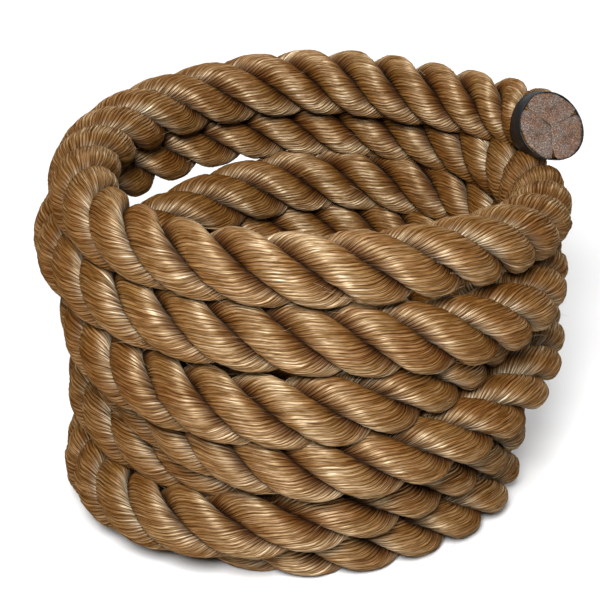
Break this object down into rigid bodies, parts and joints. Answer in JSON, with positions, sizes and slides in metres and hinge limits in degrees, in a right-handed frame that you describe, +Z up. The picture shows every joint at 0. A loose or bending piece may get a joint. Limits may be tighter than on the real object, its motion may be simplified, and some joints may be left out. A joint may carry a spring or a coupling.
{
  "type": "coiled dock line",
  "caption": "Coil of thick three-strand natural-fibre dock line, seven loose turns stacked on the floor, with black tape round its cut ends.",
  "frame": {"origin": "on the floor under the middle of the coil", "axes": "+Z up, along the stack of turns; the taped end at the top faces -Y and lies on the +X side"},
  "size_m": [0.3159, 0.333, 0.2488],
  "materials": {
    "manila": "coarse natural fibre, slightly glossy",
    "tape": "satin black tape"
  },
  "bodies": {
    "root": {"rope_coil": "manila", "rope_end": "manila", "rope_tail": "manila", "end_tape": "tape", "tail_tape": "tape", "strand_1_end": "manila", "strand_2_end": "manila", "strand_3_end": "manila", "strand_1_tail": "manila", "strand_2_tail": "manila", "strand_3_tail": "manila"}
  },
  "joints": []
}
